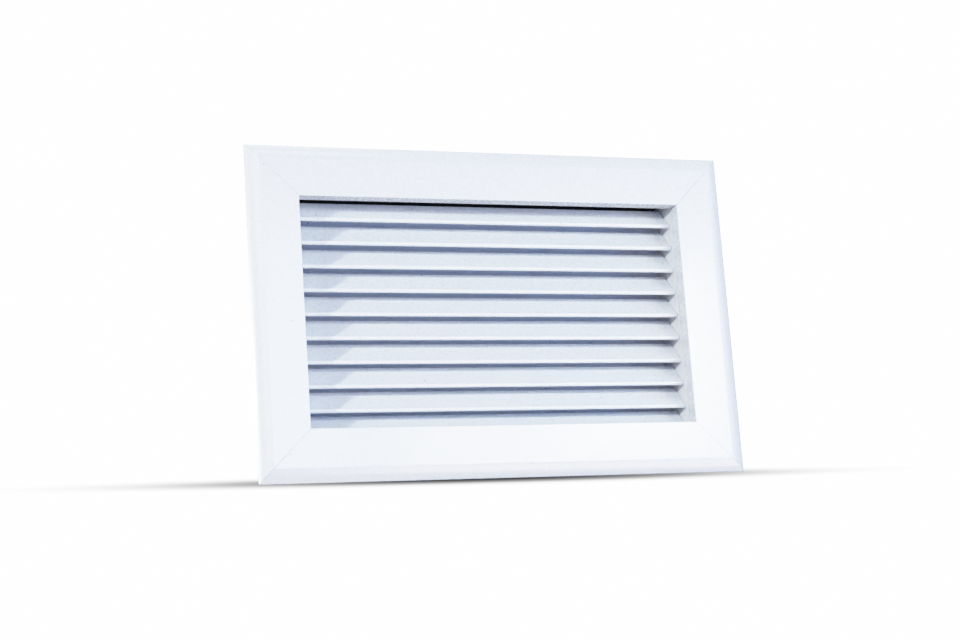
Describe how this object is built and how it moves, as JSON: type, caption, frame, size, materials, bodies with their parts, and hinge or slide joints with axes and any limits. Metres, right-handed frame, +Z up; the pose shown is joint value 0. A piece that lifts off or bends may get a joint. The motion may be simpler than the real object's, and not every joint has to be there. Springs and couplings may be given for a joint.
{
  "type": "louvred air grille",
  "caption": "White aluminium wall or door air grille: mitred border frame with a neck, fixed inverted-V non-vision blades and concealed spring clips.",
  "frame": {"origin": "centre of the grille in the plane of the wall that its border lies against", "axes": "+X along the blades, to the right as seen from the front; +Y into the wall, along the neck; +Z up"},
  "size_m": [0.427, 0.0576, 0.279],
  "materials": {
    "frame_paint": "satin",
    "blade_paint": "satin",
    "core_paint": "satin",
    "bare_aluminium": "satin",
    "foam": "matte",
    "zinc": "satin",
    "spring_steel": "satin"
  },
  "bodies": {
    "grille": {"frame_top": "frame_paint", "frame_bottom": "frame_paint", "frame_left": "frame_paint", "frame_right": "frame_paint", "blade_01": "blade_paint", "blade_02": "blade_paint", "blade_03": "blade_paint", "blade_04": "blade_paint", "blade_05": "blade_paint", "blade_06": "blade_paint", "blade_07": "blade_paint", "blade_08": "blade_paint", "blade_09": "blade_paint", "blade_10": "blade_paint", "core_channel_left": "core_paint", "core_channel_right": "core_paint", "corner_key_top_left": "bare_aluminium", "corner_key_top_right": "bare_aluminium", "corner_key_bottom_left": "bare_aluminium", "corner_key_bottom_right": "bare_aluminium", "gasket_top": "foam", "gasket_bottom": "foam", "gasket_left": "foam", "gasket_right": "foam", "blade_screw_left_01": "zinc", "blade_screw_left_02": "zinc", "blade_screw_left_03": "zinc", "blade_screw_left_04": "zinc", "blade_screw_left_05": "zinc", "blade_screw_left_06": "zinc", "blade_screw_left_07": "zinc", "blade_screw_left_08": "zinc", "blade_screw_left_09": "zinc", "blade_screw_left_10": "zinc", "blade_screw_right_01": "zinc", "blade_screw_right_02": "zinc", "blade_screw_right_03": "zinc", "blade_screw_right_04": "zinc", "blade_screw_right_05": "zinc", "blade_screw_right_06": "zinc", "blade_screw_right_07": "zinc", "blade_screw_right_08": "zinc", "blade_screw_right_09": "zinc", "blade_screw_right_10": "zinc", "core_screw_top_left": "zinc", "core_screw_top_right": "zinc", "core_screw_bottom_left": "zinc", "core_screw_bottom_right": "zinc", "clip_rivet_top_left": "zinc", "clip_rivet_top_right": "zinc", "clip_rivet_bottom_left": "zinc", "clip_rivet_bottom_right": "zinc", "clip_base_top_left": "spring_steel", "clip_base_top_right": "spring_steel", "clip_base_bottom_left": "spring_steel", "clip_base_bottom_right": "spring_steel"},
    "leaf_top_left": {"clip_leaf_top_left": "spring_steel"},
    "leaf_top_right": {"clip_leaf_top_right": "spring_steel"},
    "leaf_bottom_left": {"clip_leaf_bottom_left": "spring_steel"},
    "leaf_bottom_right": {"clip_leaf_bottom_right": "spring_steel"}
  },
  "joints": [
    {"name": "clip_flex_top_left", "type": "hinge", "parent": "grille", "child": "leaf_top_left", "pos_m": [-0.11, 0.046, 0.1072], "axis": [1, 0, 0], "range_deg": [0, 11], "stiffness_Nm_per_rad": 1},
    {"name": "clip_flex_top_right", "type": "hinge", "parent": "grille", "child": "leaf_top_right", "pos_m": [0.11, 0.046, 0.1072], "axis": [1, 0, 0], "range_deg": [0, 11], "stiffness_Nm_per_rad": 1},
    {"name": "clip_flex_bottom_left", "type": "hinge", "parent": "grille", "child": "leaf_bottom_left", "pos_m": [-0.11, 0.046, -0.1072], "axis": [-1, 0, 0], "range_deg": [0, 11], "stiffness_Nm_per_rad": 1},
    {"name": "clip_flex_bottom_right", "type": "hinge", "parent": "grille", "child": "leaf_bottom_right", "pos_m": [0.11, 0.046, -0.1072], "axis": [-1, 0, 0], "range_deg": [0, 11], "stiffness_Nm_per_rad": 1}
  ]
}
